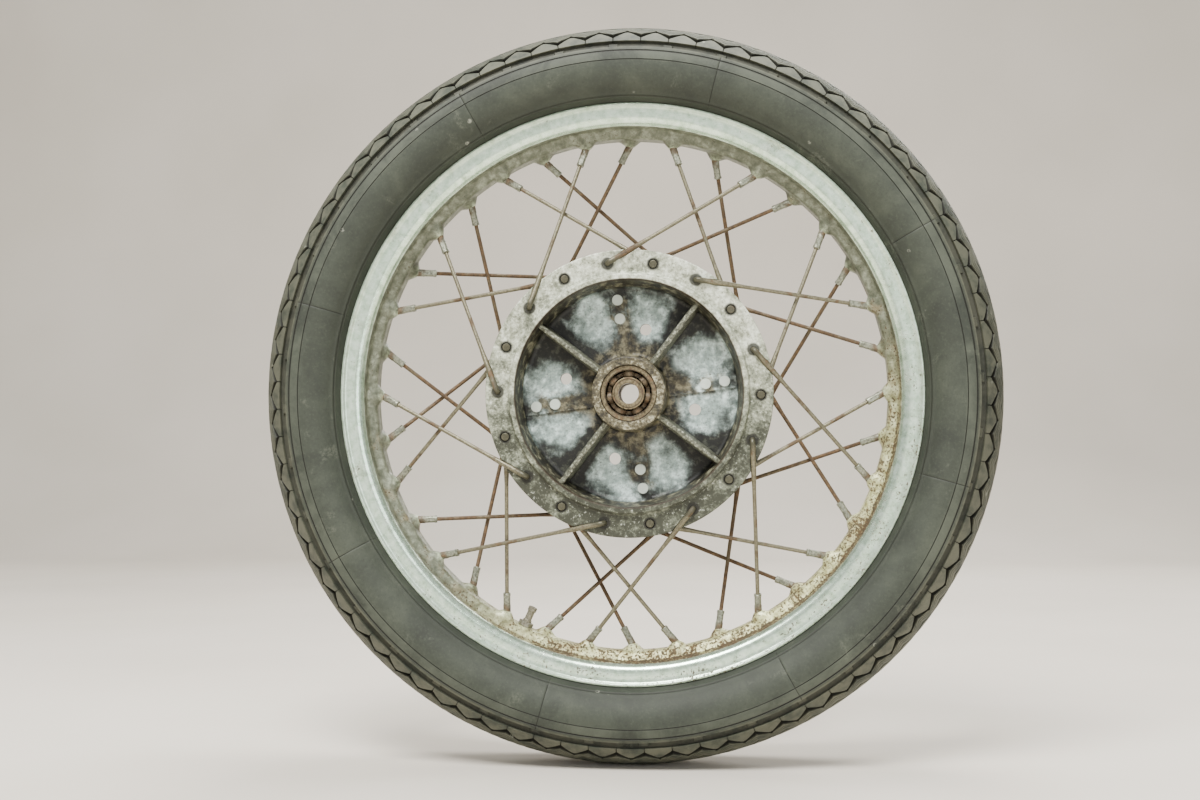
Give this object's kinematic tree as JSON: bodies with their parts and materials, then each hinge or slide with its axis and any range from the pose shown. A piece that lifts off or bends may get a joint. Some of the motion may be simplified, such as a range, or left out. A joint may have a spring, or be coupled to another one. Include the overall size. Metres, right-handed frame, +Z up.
{
  "type": "spoked wheel",
  "caption": "Laced rear wheel for a motorcycle: wire spokes, dimpled steel rim, tube and tyre, hub with cushion recess, drum and ball bearings.",
  "frame": {"origin": "centre of the wheel, on the axle's axis, midway across the tyre", "axes": "+Y along the axle from the open cushion recess to the brake drum, +Z up, +X to the right seen from the recess"},
  "size_m": [0.623, 0.0918, 0.623],
  "materials": {
    "tyre": "weathered matt",
    "tube": "matt",
    "rim_chrome": "dull, pitted with rust",
    "hub_alloy": "cast, oxidised",
    "drum_iron": "turned, lightly rusted",
    "bearing_steel": "ground, rusty",
    "cage_steel": "pressed, rusty",
    "ball_steel": "polished, dull",
    "seal_rubber": "matt",
    "valve_brass": "plated, dull",
    "valve_nut_steel": "plated, dull",
    "nipple_steel": "plated, rusting at the rim",
    "spoke_steel": "plated, dull, rust in stretches",
    "spoke_steel_rear": "plated, mostly rusted"
  },
  "bodies": {
    "bearing_core": {"front_bearing_inner_race": "bearing_steel", "rear_bearing_inner_race": "bearing_steel", "bearing_spacer": "bearing_steel"},
    "wheel": {"tyre": "tyre", "inner_tube": "tube", "rim_band": "tube", "rim": "rim_chrome", "hub_shell": "hub_alloy", "brake_liner": "drum_iron", "bearing_retainer": "bearing_steel", "dust_seal": "seal_rubber", "valve_stem": "valve_brass", "valve_nut": "valve_nut_steel", "valve_core": "valve_brass", "front_nipples": "nipple_steel", "rear_nipples": "nipple_steel", "front_bearing_outer_race": "bearing_steel", "rear_bearing_outer_race": "bearing_steel", "spoke_front_outer_1": "spoke_steel", "spoke_front_outer_2": "spoke_steel", "spoke_front_outer_3": "spoke_steel", "spoke_front_outer_4": "spoke_steel", "spoke_front_outer_5": "spoke_steel", "spoke_front_outer_6": "spoke_steel", "spoke_front_outer_7": "spoke_steel", "spoke_front_outer_8": "spoke_steel", "spoke_front_outer_9": "spoke_steel", "spoke_front_inner_1": "spoke_steel", "spoke_front_inner_2": "spoke_steel", "spoke_front_inner_3": "spoke_steel", "spoke_front_inner_4": "spoke_steel", "spoke_front_inner_5": "spoke_steel", "spoke_front_inner_6": "spoke_steel", "spoke_front_inner_7": "spoke_steel", "spoke_front_inner_8": "spoke_steel", "spoke_front_inner_9": "spoke_steel", "spoke_rear_inner_1": "spoke_steel_rear", "spoke_rear_inner_2": "spoke_steel_rear", "spoke_rear_inner_3": "spoke_steel_rear", "spoke_rear_inner_4": "spoke_steel_rear", "spoke_rear_inner_5": "spoke_steel_rear", "spoke_rear_inner_6": "spoke_steel_rear", "spoke_rear_inner_7": "spoke_steel_rear", "spoke_rear_inner_8": "spoke_steel_rear", "spoke_rear_inner_9": "spoke_steel_rear", "spoke_rear_outer_1": "spoke_steel_rear", "spoke_rear_outer_2": "spoke_steel_rear", "spoke_rear_outer_3": "spoke_steel_rear", "spoke_rear_outer_4": "spoke_steel_rear", "spoke_rear_outer_5": "spoke_steel_rear", "spoke_rear_outer_6": "spoke_steel_rear", "spoke_rear_outer_7": "spoke_steel_rear", "spoke_rear_outer_8": "spoke_steel_rear", "spoke_rear_outer_9": "spoke_steel_rear"},
    "front_cage": {"front_bearing_cage": "cage_steel", "front_bearing_balls": "ball_steel"},
    "rear_cage": {"rear_bearing_cage": "cage_steel", "rear_bearing_balls": "ball_steel"},
    "valve_pin": {"valve_pin": "valve_brass"}
  },
  "joints": [
    {"name": "wheel_spin", "type": "hinge", "parent": "bearing_core", "child": "wheel", "pos_m": [0, 0, 0], "axis": [0, 1, 0], "continuous": true},
    {"name": "front_cage_spin", "type": "hinge", "parent": "bearing_core", "child": "front_cage", "pos_m": [0, -0.033, 0], "axis": [0, 1, 0], "continuous": true},
    {"name": "rear_cage_spin", "type": "hinge", "parent": "bearing_core", "child": "rear_cage", "pos_m": [0, 0, 0], "axis": [0, 1, 0], "continuous": true},
    {"name": "valve_pin_slide", "type": "slide", "parent": "wheel", "child": "valve_pin", "axis": [-0.4179, 0, -0.9085], "range_m": [0, 0.0015], "stiffness_N_per_m": 200}
  ],
  "couplings": [
    {"joint": "front_cage_spin", "follows": "wheel_spin", "ratio": 0.6347},
    {"joint": "rear_cage_spin", "follows": "wheel_spin", "ratio": 0.6347}
  ]
}
